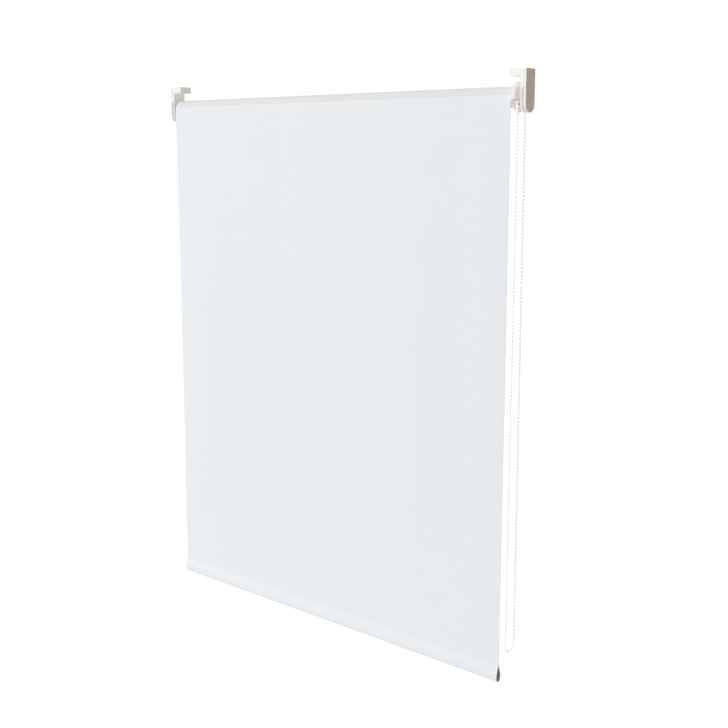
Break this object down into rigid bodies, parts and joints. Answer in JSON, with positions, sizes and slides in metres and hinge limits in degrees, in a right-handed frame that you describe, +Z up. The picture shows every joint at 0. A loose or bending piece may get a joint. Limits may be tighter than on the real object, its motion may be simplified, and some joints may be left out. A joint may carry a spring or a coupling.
{
  "type": "roller blind",
  "caption": "Chain-operated roller blind with a plain light fabric, hem bar, bead chain loop and two covered ceiling brackets.",
  "frame": {"origin": "on the mounting plane, midway between the outer faces of the two brackets, above the roller's axis", "axes": "+X along the roller towards the chain end, -Y towards the room, +Z up towards the mounting plane"},
  "size_m": [0.814, 0.048, 1.0075],
  "materials": {
    "white_plastic": "moulded, satin",
    "grey_plastic": "moulded, matt",
    "bead_plastic": "smooth",
    "natural_nylon": "moulded",
    "blackout_fabric": "plain fine weave, coated",
    "mill_aluminium": "extruded",
    "spring_steel": "drawn wire",
    "adhesive_tape": "double-sided tape"
  },
  "bodies": {
    "headrail": {"bracket_right": "white_plastic", "bracket_left": "white_plastic", "bracket_cover_right": "white_plastic", "bracket_cover_left": "white_plastic", "chain_guard": "white_plastic", "guard_plate": "white_plastic", "clutch_core": "natural_nylon", "core_clip": "spring_steel", "idle_core": "natural_nylon", "idle_core_cap": "natural_nylon", "idle_clip": "spring_steel", "pin_spring": "spring_steel", "fabric_sheet": "blackout_fabric", "bead_chain": "bead_plastic"},
    "roller": {"roller_tube": "mill_aluminium", "drive_crown": "grey_plastic", "idle_plug": "grey_plastic", "fabric_tape": "adhesive_tape", "wound_fabric": "blackout_fabric"},
    "drive_wheel": {"chain_wheel": "natural_nylon", "wrap_spring_1": "spring_steel", "wrap_spring_2": "spring_steel"},
    "bar": {"bottom_bar": "mill_aluminium", "hem_sleeve": "blackout_fabric", "bar_cap_right": "grey_plastic", "bar_cap_left": "grey_plastic"},
    "retractable_pin": {"idle_pin": "spring_steel"}
  },
  "joints": [
    {"name": "roller_spin", "type": "hinge", "parent": "headrail", "child": "roller", "pos_m": [0, 0, -0.0425], "axis": [-1, 0, 0], "range_deg": [0, 3240]},
    {"name": "chain_wheel_spin", "type": "hinge", "parent": "headrail", "child": "drive_wheel", "pos_m": [0.391, 0, -0.0425], "axis": [-1, 0, 0], "range_deg": [0, 3240]},
    {"name": "bottom_bar_lift", "type": "slide", "parent": "headrail", "child": "bar", "axis": [0, 0, 1], "range_m": [0, 0.9077], "deforming": ["fabric_sheet"]},
    {"name": "idle_pin_slide", "type": "slide", "parent": "headrail", "child": "retractable_pin", "axis": [1, 0, 0], "range_m": [0, 0.0078], "stiffness_N_per_m": 400, "springref_m": -0.004, "deforming": ["pin_spring"]}
  ],
  "couplings": [
    {"joint": "chain_wheel_spin", "follows": "roller_spin", "ratio": 1},
    {"joint": "bottom_bar_lift", "follows": "roller_spin", "m_per_rad": 0.01605}
  ]
}
